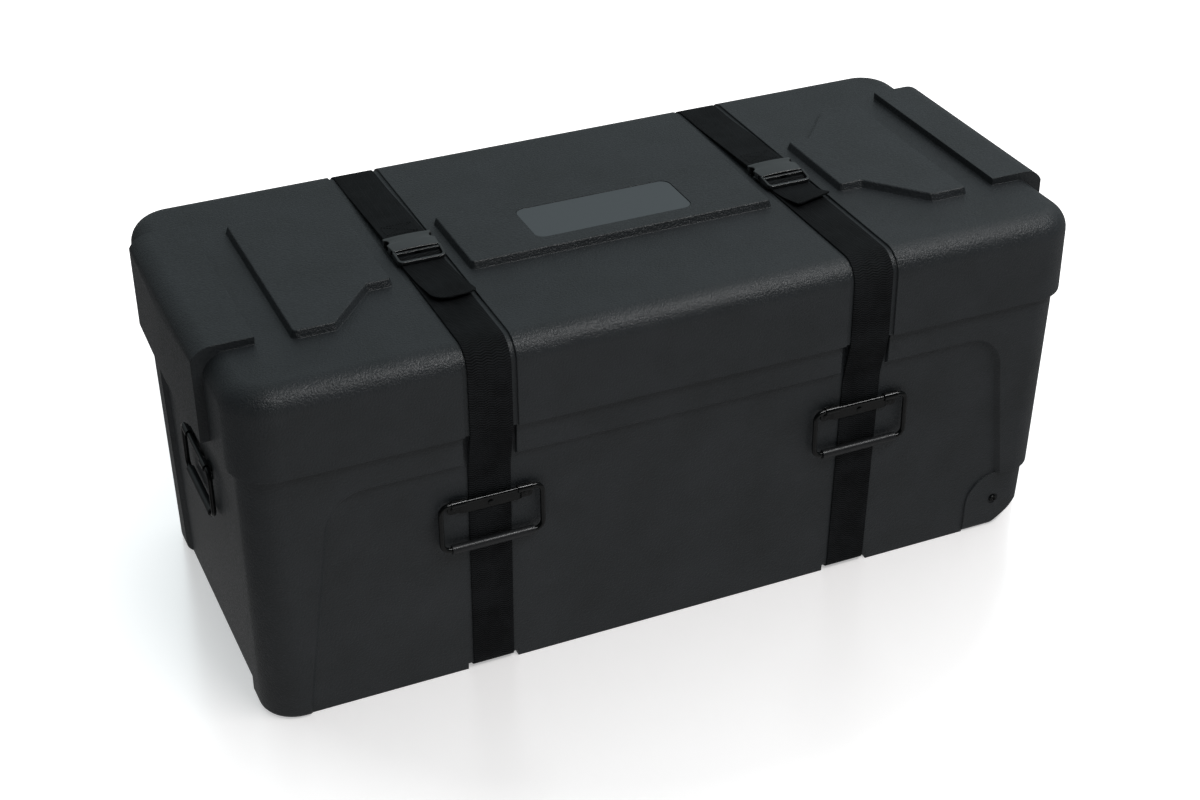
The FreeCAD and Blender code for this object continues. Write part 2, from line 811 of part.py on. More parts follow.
def make_bail():
    """Closed loop of steel wire that hangs from its upper run."""
    half = bail_width / 2
    radius = bail_corner_radius
    corners = [(-half, -bail_drop), (half, -bail_drop), (half, 0), (-half, 0)]
    path = outline_face(corners, [radius] * len(corners), lambda a, b: Vector(a, b, 0)).OuterWire
    start = path.Edges[0].firstVertex().Point
    tangent = path.Edges[0].tangentAt(path.Edges[0].FirstParameter)
    ring = Part.Wire(Part.makeCircle(wire_radius, start, tangent))
    return path.makePipeShell([ring], True, False)


def make_grip():
    """Moulded sleeve on the lower run of the wire, with a ridge under it."""
    start = Vector(-grip_length / 2, -bail_drop, 0)
    body = Part.makeCylinder(grip_radius, grip_length, start, Vector(1, 0, 0))
    ridge = block(-grip_length / 2, grip_length / 2, -bail_drop - grip_radius - grip_ridge_depth / 2,
                  -bail_drop, -grip_ridge_width / 2, grip_ridge_width / 2)
    bore = Part.makeCylinder(wire_radius + grip_fit, grip_length, start, Vector(1, 0, 0))
    return body.fuse(ridge).cut(bore)


def make_rivets():
    """Three rivets through the bracket, the webbing or wall, and the backing plate."""
    solids = []
    middle_seat = webbing_gap + webbing_thickness + bracket_clearance + bracket_thickness
    inside = -base_wall - backing_thickness
    for x in rivet_places:
        seat = middle_seat if x == 0 else bracket_thickness
        shank_start = Vector(x, -rivet_drop, inside)
        shank = Part.makeCylinder(rivet_radius, seat - inside, shank_start)
        head = Part.makeCone(
            rivet_head_radius, rivet_radius, rivet_head_height, Vector(x, -rivet_drop, seat))
        tail = Part.makeCylinder(
            rivet_head_radius, rivet_head_height, Vector(x, -rivet_drop, inside - rivet_head_height))
        solids.append(shank.fuse(head).fuse(tail).removeSplitter())
    return Part.makeCompound(solids)


def make_backing_plate():
    """Steel strip inside the wall that the rivets pull against."""
    half = backing_length / 2
    plate = block(-half, half, -rivet_drop - backing_height / 2, -rivet_drop + backing_height / 2,
                  -base_wall - backing_thickness, -base_wall)
    return plate.cut(rivet_holes())


def wheel_disc(radius, width):
    """Disc on the front axle."""
    return Part.makeCylinder(
        radius, width, Vector(axle_x, wheel_y - width / 2, axle_height), Vector(0, 1, 0))


def make_tyre():
    """Rubber tyre with rounded shoulders."""
    tyre = wheel_disc(wheel_radius, wheel_width)
    rims = [edge for edge in tyre.Edges if edge.Closed and edge.Length > math.pi * wheel_radius]
    tyre = tyre.makeFillet(wheel_edge_radius, rims)
    return tyre.cut(wheel_disc(wheel_radius - tyre_thickness, wheel_width + overrun))


def make_hub():
    """Moulded wheel centre, dished on both faces, that runs on the axle bolt."""
    radius = wheel_radius - tyre_thickness - hub_seat_fit
    hub = wheel_disc(radius, wheel_width)
    dish = wheel_disc(radius - hub_recess, wheel_width).cut(wheel_disc(radius, wheel_width - 2 * hub_recess))
    hub = hub.cut(dish.cut(wheel_disc(hub_boss_radius, wheel_width)))
    return hub.cut(wheel_disc(axle_radius + hub_bore_fit, wheel_width + overrun))


def make_washers():
    """Washers that keep the wheel in the middle of its pocket."""
    washers = []
    side_gap = (pocket_width - wheel_width) / 2 - webbing_gap
    for start in (pocket_front, pocket_back - side_gap):
        ring = Part.makeCylinder(
            washer_radius, side_gap, Vector(axle_x, start, axle_height), Vector(0, 1, 0))
        washers.append(ring.cut(wheel_disc(axle_radius + hub_bore_fit, wheel_width + overrun)))
    return Part.makeCompound(washers)


def make_axle_bolt():
    """Button-head bolt that the wheel runs on, with a socket in its head."""
    tail = pocket_back + pocket_wall + nut_thickness + axle_tail
    seat = Vector(axle_x, seat_y, axle_height)
    shank = Part.makeCylinder(axle_radius, tail - seat_y, seat, Vector(0, 1, 0))
    head = Part.makeCone(head_radius, axle_radius, head_height, seat, Vector(0, -1, 0))
    socket = Part.makeCylinder(
        socket_radius, socket_depth, Vector(axle_x, seat_y - head_height, axle_height), Vector(0, 1, 0))
    return shank.fuse(head).cut(socket)


def make_axle_nut():
    """Hexagon nut on the axle bolt, inside the case."""
    start = pocket_back + pocket_wall
    corner = nut_width / 2 / math.cos(math.pi / 6)
    angles = [math.pi / 3 * index for index in range(6)]
    points = [(axle_x + corner * math.cos(a), axle_height + corner * math.sin(a)) for a in angles]
    face = outline_face(points, [0] * len(points), lambda a, b: Vector(a, start, b))
    nut = face.extrude(Vector(0, nut_thickness, 0))
    return nut.cut(wheel_disc(axle_radius + hub_bore_fit, wheel_width + 2 * overrun))


def build():
    """Every piece of the case by name."""
    frames = handle_frames()
    parts = {
        "base_shell": make_base_shell(frames),
        "lid_shell": make_lid_shell(),
        "label_plate": make_label_plate(),
    }
    for side, x, tail in (
        ("left", -half_strap_spacing, left_tail_length),
        ("right", half_strap_spacing, right_tail_length),
    ):
        hole = placed(rivet_holes(), frames[side + "_handle"])
        parts[side + "_strap_base"] = make_base_webbing(x).cut(hole)
        parts[side + "_strap_rear"] = make_rear_webbing(x)
        parts[side + "_strap_front"] = make_front_webbing(x, tail)
        parts[side + "_buckle_socket"] = make_buckle_socket(x)
        parts[side + "_buckle_frame"] = make_buckle_frame(x)
        parts[side + "_buckle_prong_a"] = make_buckle_prong(x, -1)
        parts[side + "_buckle_prong_b"] = make_buckle_prong(x, 1)
    for name, frame in frames.items():
        pivot = frame.multVec(Vector(0, 0, bail_stand_off))
        across = frame.Rotation.multVec(Vector(1, 0, 0))
        hanging = frame_at(pivot, across, Vector(0, 0, 1), across.cross(Vector(0, 0, 1)))
        parts[name + "_bracket"] = placed(make_bracket(), frame)
        parts[name + "_bail"] = placed(make_bail(), hanging)
        parts[name + "_grip"] = placed(make_grip(), hanging)
        parts[name + "_rivets"] = placed(make_rivets(), frame)
        parts[name + "_backing_plate"] = placed(make_backing_plate(), frame)
        print(name, "pivot", [round(value, 3) for value in pivot])
    wheel_parts = {
        "tyre": make_tyre(),
        "hub": make_hub(),
        "washers": make_washers(),
        "axle_bolt": make_axle_bolt(),
        "axle_nut": make_axle_nut(),
    }
    for name, shape in wheel_parts.items():
        parts["front_wheel_" + name] = shape
        parts["rear_wheel_" + name] = mirrored_y(shape)
    return parts


os.makedirs("parts", exist_ok=True)
for name, shape in build().items():
    shape.exportStep("parts/" + name + ".step")
    print(name, len(shape.Solids), shape.isValid(), round(shape.Volume / 1000, 2))
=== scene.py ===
import math

import bmesh
import bpy
from mathutils import Matrix, Vector


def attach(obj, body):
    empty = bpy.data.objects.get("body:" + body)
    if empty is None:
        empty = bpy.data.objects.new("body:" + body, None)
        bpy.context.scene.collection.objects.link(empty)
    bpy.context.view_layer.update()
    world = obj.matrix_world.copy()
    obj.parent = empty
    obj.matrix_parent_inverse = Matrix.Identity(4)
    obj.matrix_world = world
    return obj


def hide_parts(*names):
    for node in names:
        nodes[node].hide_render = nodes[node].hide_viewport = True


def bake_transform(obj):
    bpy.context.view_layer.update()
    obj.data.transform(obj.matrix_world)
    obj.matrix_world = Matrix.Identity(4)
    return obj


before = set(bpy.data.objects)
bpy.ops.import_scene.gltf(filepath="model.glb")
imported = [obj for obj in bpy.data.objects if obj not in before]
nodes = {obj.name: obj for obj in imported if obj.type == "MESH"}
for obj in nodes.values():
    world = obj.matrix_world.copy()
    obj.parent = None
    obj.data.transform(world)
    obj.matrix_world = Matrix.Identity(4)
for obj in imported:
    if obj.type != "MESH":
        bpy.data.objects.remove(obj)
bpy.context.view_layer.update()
# Metres in a millimetre: a size that isn't multiplied by it yet is in millimetres
MM = 0.001

# Base of the case: one hollow moulding of black polyethylene with walls about 6 mm thick, tapered so that
# it draws from the mould. Its sides are recessed between bands, and its arrises come out rounded.

ARRIS = 1.1 * MM
ARRIS_SEGMENTS = 3
ARRIS_ANGLE = math.radians(25)
MOULD_RADIUS = 1.7 * MM
FLAT_ANGLE = math.radians(0.3)
WELD_DISTANCE = 0.001 * MM


def linear(code):
    """Linear colour from an sRGB hex value."""
    shares = [int(code[place:place + 2], 16) / 255 for place in (1, 3, 5)]
    return [s / 12.92 if s <= 0.04045 else ((s + 0.055) / 1.055) ** 2.4 for s in shares] + [1]


def add(tree, kind, inputs=None, **settings):
    """One shader node with its settings, and its sockets set or linked."""
    made = tree.nodes.new("ShaderNode" + kind)
    for name, value in settings.items():
        setattr(made, name, value)
    for name, value in (inputs or {}).items():
        if isinstance(value, bpy.types.NodeSocket):
            tree.links.new(value, made.inputs[name])
        else:
            made.inputs[name].default_value = value
    return made


def finish(name, fixed, textures):
    """Material whose shader has fixed values on its own sockets and the textures that a function links."""
    made = bpy.data.materials.new(name)
    made.use_nodes = True
    tree = made.node_tree
    tree.nodes.clear()
    shader = add(tree, "BsdfPrincipled", {**fixed, **textures(tree)})
    add(tree, "OutputMaterial", {"Surface": shader.outputs["BSDF"]})
    return made


def moulded_polyethylene():
    """Rotomoulded black polyethylene: a dull, waxy black whose pebbled skin breaks up every highlight."""
    pebble = 2.4 * MM  # the real grain is nearer 1 mm, drawn coarser so that it shows
    sand = 1.1 * MM
    shrinkage = 120 * MM
    clouds_per_metre = 14.0

    def textures(tree):
        place = add(tree, "TexCoord").outputs["Object"]
        grain = add(tree, "TexNoise", {
            "Vector": place, "Scale": 1 / pebble, "Detail": 2.0, "Roughness": 0.6})
        grit = add(tree, "TexNoise", {"Vector": place, "Scale": 1 / sand, "Detail": 1.0})
        wave = add(tree, "TexNoise", {"Vector": place, "Scale": 1 / shrinkage, "Detail": 1.0})
        cloud = add(tree, "TexNoise", {
            "Vector": place, "Scale": clouds_per_metre, "Detail": 3.0, "Roughness": 0.6})
        tint = add(tree, "ValToRGB", {"Fac": cloud.outputs["Fac"]})
        tint.color_ramp.elements[0].color = linear("#222527")
        tint.color_ramp.elements[1].color = linear("#292c2f")
        tint.color_ramp.elements[0].position = 0.3
        tint.color_ramp.elements[1].position = 0.75
        gloss = add(tree, "MapRange", {
            "Value": grain.outputs["Fac"], "From Min": 0.3, "From Max": 0.7,
            "To Min": 0.30, "To Max": 0.50})
        drawn = add(tree, "Bevel", {"Radius": MOULD_RADIUS}, samples=6)
        sunk = add(tree, "Bump", {
            "Height": wave.outputs["Fac"], "Strength": 0.3, "Distance": 2.5 * MM,
            "Normal": drawn.outputs["Normal"]})
        pebbled = add(tree, "Bump", {
            "Height": grain.outputs["Fac"], "Strength": 1.0, "Distance": 0.9 * MM,
            "Normal": sunk.outputs["Normal"]})
        gritty = add(tree, "Bump", {
            "Height": grit.outputs["Fac"], "Strength": 0.8, "Distance": 0.35 * MM,
            "Normal": pebbled.outputs["Normal"]})
        return {
            "Base Color": tint.outputs["Color"],
            "Roughness": gloss.outputs["Result"],
            "Normal": gritty.outputs["Normal"],
        }

    return finish("moulded_polyethylene", {}, textures)


def object_from(name, data):
    """Object in the scene that holds a mesh, a lamp or a camera."""
    made = bpy.data.objects.new(name, data)
    bpy.context.scene.collection.objects.link(made)
    return made


def eased_copy(name, node, arris):
    """Copy of a rigid node with its arrises rounded."""
    mesh = nodes[node].data.copy()
    shape = bmesh.new()
    shape.from_mesh(mesh)
    bmesh.ops.remove_doubles(shape, verts=shape.verts, dist=WELD_DISTANCE)
    bmesh.ops.dissolve_limit(shape, angle_limit=FLAT_ANGLE, verts=shape.verts, edges=shape.edges)
    for face in shape.faces:
        face.smooth = True
    shape.to_mesh(mesh)
    shape.free()
    made = object_from(name, mesh)
    rounding = made.modifiers.new("rounded_arrises", "BEVEL")
    rounding.width = arris
    rounding.segments = ARRIS_SEGMENTS
    rounding.limit_method = "ANGLE"
    rounding.angle_limit = ARRIS_ANGLE
    made.modifiers.new("even_light", "WEIGHTED_NORMAL")
    return made


def fit(piece, material, body, slot, *replaced):
    """Gives a piece its finish and the body that it rides on, and hides the nodes that it stands for."""
    piece.data.materials.clear()
    piece.data.materials.append(material)
    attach(piece, body)
    if replaced:
        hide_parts(*replaced)
    return piece


polyethylene = moulded_polyethylene()
case_base = eased_copy("case_base", "base_shell", ARRIS)
fit(case_base, polyethylene, "base", "case_shell", "base_shell")

# Lid: a second moulding of the same sheet, which lifts off by hand. Its pads stand 9 mm proud so that
# cases stack without sliding, and a saddle moulded over each end takes the knocks.

case_lid = eased_copy("case_lid", "lid_shell", ARRIS)
fit(case_lid, polyethylene, "lid", "case_shell", "lid_shell")

# Plate: a thin sheet let into the middle pad and glued there, bare, with rounded corners. Its satin
# face is smoother and paler than the moulding round it.

PLATE_ARRIS = 0.3 * MM


def satin_plate():
    """Brushed plastic laminate: dark grey, with a faint lengthwise grain under a satin face."""
    grain = 0.4 * MM

    def textures(tree):
        place = add(tree, "TexCoord").outputs["Object"]
        drawn = add(tree, "Mapping", {"Vector": place, "Scale": (0.03, 1.0, 1.0)})
        lines = add(tree, "TexNoise", {"Vector": drawn.outputs[0], "Scale": 1 / grain, "Detail": 2.0})
        tint = add(tree, "ValToRGB", {"Fac": lines.outputs["Fac"]})
        tint.color_ramp.elements[0].color = linear("#43484b")
        tint.color_ramp.elements[1].color = linear("#4e5356")
        gloss = add(tree, "MapRange", {"Value": lines.outputs["Fac"], "To Min": 0.28, "To Max": 0.42})
        brushed = add(tree, "Bump", {
            "Height": lines.outputs["Fac"], "Strength": 0.15, "Distance": 0.02 * MM})
        return {
            "Base Color": tint.outputs["Color"],
            "Roughness": gloss.outputs["Result"],
            "Normal": brushed.outputs["Normal"],
        }

    return finish("satin_plate", {}, textures)


bare_plate = eased_copy("bare_plate", "label_plate", PLATE_ARRIS)
fit(bare_plate, satin_plate(), "lid", "blank_plate", "label_plate")

# Straps: 50 mm polypropylene webbing woven in a ribbed twill. Each band is sewn round the buckle's rear
# bar, runs down the back, under the base and up the front, and is threaded back through the frame.

STRAP_X = 232.0
WEBBING_HALF = 25.0
WEBBING_THICKNESS = 1.8
LID_RUN = 437.7
LID_SIDE = 238.7
LID_TURN = 26.7
BAR_WRAP = 3.2
WRAP_TOP = LID_RUN + 2 * BAR_WRAP
REAR_BAR_Y = 18.0
FRAME_BAR_Y = -23.8
RISE_START = REAR_BAR_Y + 150.0
RISE_SLOPE = 2 * BAR_WRAP / (RISE_START - REAR_BAR_Y - BAR_WRAP)
SEWN_LENGTH = 30.0
LAYER_GAP = 0.3
TAIL_HEIGHT = LID_RUN + WEBBING_THICKNESS + LAYER_GAP
TAIL_START = FRAME_BAR_Y - 6.2
CREST_END = FRAME_BAR_Y - 1.2
CREASE = 1.0
PANEL_SIDE = 225.598
PANEL_TOP = 280.0
FOOT_SIDE = 214.809
FOOT_HEIGHT = 2.8
FOOT_TURN = 9.2
BRIDGE_TURN = 45.0
RIM = 334.0
TAIL_LIFT = 5.0
# Length of the tail over which the slant of its cut dies away
CUT_REACH = 30.0
PATH_STEP = 3.0
ARC_STEP = math.radians(9)


def eased_path(points, turns, step):
    """Points along a bent line in a plane, as 2-D vectors, with each bend rounded and the straights cut
    into steps."""
    line = [Vector(points[0])]
    for before, corner, after, turn in zip(points, points[1:], points[2:], turns):
        corner = Vector(corner)
        back = (Vector(before) - corner).normalized()
        ahead = (Vector(after) - corner).normalized()
        half = back.angle(ahead) / 2
        bend = math.pi - 2 * half
        centre = corner + (back + ahead).normalized() * (turn / math.sin(half))
        start = corner + back * (turn / math.tan(half)) - centre
        spin = math.copysign(1, back.y * ahead.x - back.x * ahead.y)
        count = max(2, round(bend / ARC_STEP))
        for index in range(count + 1):
            line.append(centre + Matrix.Rotation(spin * bend * index / count, 2) @ start)
    line.append(Vector(points[-1]))
    fine = [line[0]]
    for start, end in zip(line, line[1:]):
        count = max(1, round((end - start).length / step))
        if (end - start).length > step / 1000:
            fine += [start.lerp(end, (index + 1) / count) for index in range(count)]
    return fine


def swept(path, across, ring, closed=False):
    """Mesh through a ring at each point of a flat path, all in metres. A ring gives, for each of its
    points, the distance along the across direction and along the path's own normal."""
    count = len(path)
    rings = []
    runs = [0.0]
    for index, spot in enumerate(path):
        before = path[index - 1] if index or closed else spot
        after = path[(index + 1) % count] if index + 1 < count or closed else spot
        normal = across.cross((after - before).normalized())
        rings.append([spot + across * a + normal * b for a, b in ring(index)])
        runs.append(runs[-1] + (path[(index + 1) % count] - spot).length)
    size = len(rings[0])
    girths = [0.0]
    for place in range(size):
        girths.append(girths[-1] + (rings[0][(place + 1) % size] - rings[0][place]).length)
    faces = []
    marks = []
    for index in range(count if closed else count - 1):
        low = index * size
        high = (index + 1) % count * size
        for place in range(size):
            beside = (place + 1) % size
            faces.append((low + place, low + beside, high + beside, high + place))
            marks += [(girths[place], runs[index]), (girths[place + 1], runs[index]),
                      (girths[place + 1], runs[index + 1]), (girths[place], runs[index + 1])]
    if not closed:
        last = (count - 1) * size
        faces.append(tuple(range(size - 1, -1, -1)))
        faces.append(tuple(range(last, last + size)))
        marks += [(0.0, 0.0)] * (2 * size)
    mesh = bpy.data.meshes.new("swept")
    mesh.from_pydata([point for one in rings for point in one], [], faces)
    layer = mesh.uv_layers.new(name="length_and_girth")
    layer.data.foreach_set("uv", [value for mark in marks for value in mark])
    return mesh


def gathered(name, meshes):
    """One smooth object that holds several meshes."""
    shape = bmesh.new()
    for mesh in meshes:
        shape.from_mesh(mesh)
    bmesh.ops.recalc_face_normals(shape, faces=shape.faces)
    for face in shape.faces:
        face.smooth = True
    whole = bpy.data.meshes.new(name)
    shape.to_mesh(whole)
    shape.free()
    made = object_from(name, whole)
    made.modifiers.new("even_light", "WEIGHTED_NORMAL")
    return made


def ribbed_webbing():
    """Black polypropylene webbing: matt yarn in close cross ribs that turn back and forth like a twill."""
    rib = 3.0 * MM  # the real ribs are about 1.5 mm apart, drawn coarser so that they show
    turn = 6.0 * MM
    yarn = 0.7 * MM
    patches_per_metre = 30.0

    def textures(tree):
        spot = add(tree, "TexCoord")
        along = add(tree, "SeparateXYZ", {"Vector": spot.outputs["UV"]})
        lean = add(tree, "Math", {0: along.outputs["X"], 1: turn}, operation="PINGPONG")
        slant = add(tree, "Math", {0: lean.outputs[0], 1: 0.35, 2: along.outputs["Y"]},
                    operation="MULTIPLY_ADD")
        phase = add(tree, "Math", {0: slant.outputs[0], 1: math.tau / rib}, operation="MULTIPLY")
        ribs = add(tree, "Math", {0: phase.outputs[0]}, operation="SINE")
        place = spot.outputs["Object"]
        fuzz = add(tree, "TexNoise", {"Vector": place, "Scale": 1 / yarn, "Detail": 2.0})
        worn = add(tree, "TexNoise", {"Vector": place, "Scale": patches_per_metre, "Detail": 2.0})
        mixed = add(tree, "Math", {0: fuzz.outputs["Fac"], 1: 1.4, 2: ribs.outputs[0]},
                    operation="MULTIPLY_ADD")
        # Base colour: painted shade, darker in the grooves between the ribs, mixed with random patches of
        # wear
        depth = add(tree, "Math", {0: ribs.outputs[0], 1: 0.3, 2: worn.outputs["Fac"]},
                    operation="MULTIPLY_ADD")
        tint = add(tree, "ValToRGB", {"Fac": depth.outputs[0]})
        tint.color_ramp.elements[0].color = linear("#040506")
        tint.color_ramp.elements[1].color = linear("#1a1c1e")
        tint.color_ramp.elements[0].position = 0.2
        tint.color_ramp.elements[1].position = 0.8
        woven = add(tree, "Bump", {
            "Height": mixed.outputs[0], "Strength": 1.0, "Distance": 0.3 * MM})
        return {"Base Color": tint.outputs["Color"], "Normal": woven.outputs["Normal"]}

    return finish("ribbed_webbing", {
        "Roughness": 0.6, "Specular IOR Level": 0.12}, textures)


# Distance across and up, from the thickened edge of the band to its flat middle
SELVAGE = [(25.0, 0.0), (24.85, 0.55), (24.3, 0.9), (23.5, 0.75), (22.7, 0.88), (14.0, 0.9), (5.0, 0.9)]
RIBBON = (
    [(-a, b) for a, b in SELVAGE] + [(a, b) for a, b in SELVAGE[::-1]]
    + [(a, -b) for a, b in SELVAGE[1:]] + [(-a, -b) for a, b in SELVAGE[:0:-1]])


def strap_band(name, x, tail, drift, slant, left_round, right_round):
    """Whole band of one strap, from its sewn end to the cut end of its tail. The tail drifts sideways,
    its cut slants, and its two corners are rounded."""
    back = REAR_BAR_Y + BAR_WRAP
    near = REAR_BAR_Y - BAR_WRAP
    fold = FRAME_BAR_Y + BAR_WRAP
    join = back + 3 * BAR_WRAP
    end = TAIL_START - tail
    under = WRAP_TOP - WEBBING_THICKNESS - LAYER_GAP
    points = [
        (join + SEWN_LENGTH, under - RISE_SLOPE * (join + SEWN_LENGTH - back)),
        (join, under - RISE_SLOPE * (join - back)), (back, LID_RUN), (near, LID_RUN), (near, WRAP_TOP),
        (back, WRAP_TOP), (RISE_START, LID_RUN), (LID_SIDE, LID_RUN), (LID_SIDE, RIM),
        (PANEL_SIDE, PANEL_TOP), (FOOT_SIDE, FOOT_HEIGHT), (-FOOT_SIDE, FOOT_HEIGHT),
        (-PANEL_SIDE, PANEL_TOP), (-LID_SIDE, RIM), (-LID_SIDE, LID_RUN), (fold, LID_RUN),
        (fold, WRAP_TOP), (CREST_END, WRAP_TOP), (TAIL_START, TAIL_HEIGHT),
        ((TAIL_START + end) / 2, TAIL_HEIGHT), (end, TAIL_HEIGHT + TAIL_LIFT),
    ]
    turns = [
        BAR_WRAP, BAR_WRAP, BAR_WRAP, BAR_WRAP, CREASE, BRIDGE_TURN, LID_TURN, BRIDGE_TURN, BRIDGE_TURN,
        FOOT_TURN, FOOT_TURN, BRIDGE_TURN, BRIDGE_TURN, LID_TURN, BAR_WRAP, BAR_WRAP, BAR_WRAP, BAR_WRAP,
        2 * BRIDGE_TURN,
    ]
    line = eased_path(points, turns, PATH_STEP)
    path = [Vector((x, y, z)) * MM for y, z in line]
    left = [0.0]
    for after, before in zip(line[::-1], line[-2::-1]):
        left.append(left[-1] + (after - before).length)
    left.reverse()

    def ring(index):
        rest = left[index]
        cut = [turn - math.sqrt(max(0, turn ** 2 - (turn - min(rest, turn)) ** 2))
               for turn in (left_round, right_round)]
        side = drift * max(0, 1 - rest / tail) ** 1.5
        spots = []
        for a, b in RIBBON:
            reach = WEBBING_HALF - cut[0 if a < 0 else 1]
            spots.append(((a / WEBBING_HALF * reach + side) * MM, b * MM))
        return spots

    mesh = swept(path, Vector((1, 0, 0)), ring)
    for index, rest in enumerate(left):
        for vertex in mesh.vertices[index * len(RIBBON):(index + 1) * len(RIBBON)]:
            vertex.co.y += slant * (vertex.co.x - x * MM) / WEBBING_HALF * max(0, 1 - rest / CUT_REACH)
    return gathered(name, [mesh])


webbing = ribbed_webbing()
# Place along X, then the tail's length, its drift, the slant of its cut and the rounding of its corners
strap_sides = (
    ("left", -STRAP_X, 103.0, 6.0, 3.0, 20.0, 8.0),
    ("right", STRAP_X, 57.0, 7.0, 7.0, 4.0, 3.0),
)
for side, x, tail, drift, slant, left_round, right_round in strap_sides:
    band = strap_band(side + "_strap", x, tail, drift, slant, left_round, right_round)
    band.data.materials.append(webbing)
    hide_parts(*[f"{side}_strap_{part}" for part in ("base", "rear", "front")])
    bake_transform(band)

# Stitching: the end of each band is sewn to itself behind the buckle, a box with a cross in it, in
# heavy bonded thread that stands a little out of the ribs.

STITCH_LENGTH = 2.6
STITCH_PITCH = 3.4
STITCH_SHARES = (-0.5, -0.25, 0.0, 0.25, 0.5)
THREAD_RADIUS = 0.28
THREAD_LIFT = 0.1
THREAD_ARCH = 0.9
BOX_X = 19.0
BOX_NEAR = 33.0
BOX_FAR = 57.0


def round_ring(radius, sides):
    """Circle as a ring for a sweep, from a radius in millimetres."""
    angles = [math.tau * part / sides for part in range(sides)]
    return [(radius * MM * math.cos(a), radius * MM * math.sin(a)) for a in angles]


def bonded_thread():
    """Bonded nylon thread: black, with a faint gloss from its coating."""
    def textures(tree):
        place = add(tree, "TexCoord").outputs["Object"]
        ply = add(tree, "TexNoise", {"Vector": place, "Scale": 1 / (0.5 * MM)})
        gloss = add(tree, "MapRange", {"Value": ply.outputs["Fac"], "To Min": 0.4, "To Max": 0.6})
        return {"Base Color": linear("#0d0e0f"), "Roughness": gloss.outputs["Result"]}

    return finish("bonded_thread", {"Specular IOR Level": 0.1}, textures)


def stitches(name, x):
    """Raised threads of the box and cross on the upper layer of one band."""
    corners = [(-BOX_X, BOX_NEAR), (BOX_X, BOX_NEAR), (BOX_X, BOX_FAR), (-BOX_X, BOX_FAR)]
    runs = list(zip(corners, corners[1:] + corners[:1]))
    runs += [(corners[0], corners[2]), (corners[1], corners[3])]
    meshes = []
    for start, end in runs:
        start = Vector(start)
        end = Vector(end)
        way = (end - start).normalized()
        count = int((end - start).length / STITCH_PITCH)
        for index in range(count):
            middle = start.lerp(end, (index + 0.5) / count)
            spots = []
            for share in STITCH_SHARES:
                spot = middle + way * STITCH_LENGTH * share
                fall = RISE_SLOPE * (spot.y - REAR_BAR_Y - BAR_WRAP)
                top = WRAP_TOP - fall + WEBBING_THICKNESS / 2 + THREAD_LIFT
                spots.append(Vector((x + spot.x, spot.y, top - THREAD_ARCH * share ** 2)) * MM)

            def ring(place):
                return round_ring(THREAD_RADIUS * (1 if abs(STITCH_SHARES[place]) < 0.5 else 0.5), 6)

            meshes.append(swept(spots, Vector((-way.y, way.x, 0)), ring))
    return gathered(name, meshes)


thread = bonded_thread()
for side, x in (("left", -STRAP_X), ("right", STRAP_X)):
    fit(stitches(side + "_stitches", x), thread, "lid", "webbing")

# Buckles: side-release buckles of satin black acetal. The socket half has a crowned top with a scallop
# in each side, where a finger squeezes the prong, and its back edge covers the bar that holds the band.

BUCKLE_HALF = 28.8
SOCKET_FRONT = -15.0
SOCKET_BACK = 20.0
SOCKET_FLOOR = 438.9
SOCKET_TOP = 449.9
TOP_THICKNESS = 2.8
TOP_EDGE = 1.1
CROWN = 1.3
NOSE_TAPER = 1.6
NOSE_START = 2.0
FLOOR_THICKNESS = 2.6
FLOOR_BACK = 12.0
FLOOR_INSET = 0.4
FLOOR_EDGE = 0.8
SCALLOP_Y = 9.5
SCALLOP_RADIUS = 6.0
SCALLOP_X = 30.3
WALL_FRONT = 5.2
WALL_BACK = 12.4
WALL_INSET = 1.0
WALL_EDGE = 0.5
WALL_SINK = 1.0
WALL_TOP = SOCKET_TOP - 2.0
CHEEK_X = 26.0
CHEEK_HALF = 1.3
CHEEK_INSET = 0.4
CHEEK_BACK = -9.0
CHEEK_TOP = SOCKET_TOP - 2.2
POST_X = 27.0
POST_HALF = 1.5
POST_FRONT = 14.6
POST_INSET = 0.3
POST_EDGE = 0.6
BAR_RADIUS = 2.0
BAR_HALF = 27.0
BAR_HEIGHT = LID_RUN + BAR_WRAP
SLAB_STEP = 0.6


def satin_acetal():
    """Injection-moulded acetal: a smooth satin black with an even, soft highlight and handling marks."""
    def textures(tree):
        place = add(tree, "TexCoord").outputs["Object"]
        spark = add(tree, "TexNoise", {"Vector": place, "Scale": 1 / (0.5 * MM), "Detail": 1.0})
        marks = add(tree, "TexNoise", {"Vector": place, "Scale": 1 / (14 * MM), "Detail": 4.0})
        gloss = add(tree, "MapRange", {
            "Value": marks.outputs["Fac"], "From Min": 0.3, "From Max": 0.7,
            "To Min": 0.27, "To Max": 0.36})
        eroded = add(tree, "Bump", {
            "Height": spark.outputs["Fac"], "Strength": 0.2, "Distance": 0.03 * MM})
        return {
            "Base Color": linear("#101213"),
            "Roughness": gloss.outputs["Result"],
            "Normal": eroded.outputs["Normal"],
        }

    return finish("satin_acetal", {
        "Specular IOR Level": 0.8, "Coat Weight": 0.5, "Coat Roughness": 0.25}, textures)


def rounded_corner(centre_a, centre_b, radius, first):
    """Four points round a quarter circle that starts at an angle in degrees."""
    angles = [math.radians(first + 30 * part) for part in range(4)]
    return [(centre_a + radius * math.cos(a), centre_b + radius * math.sin(a)) for a in angles]


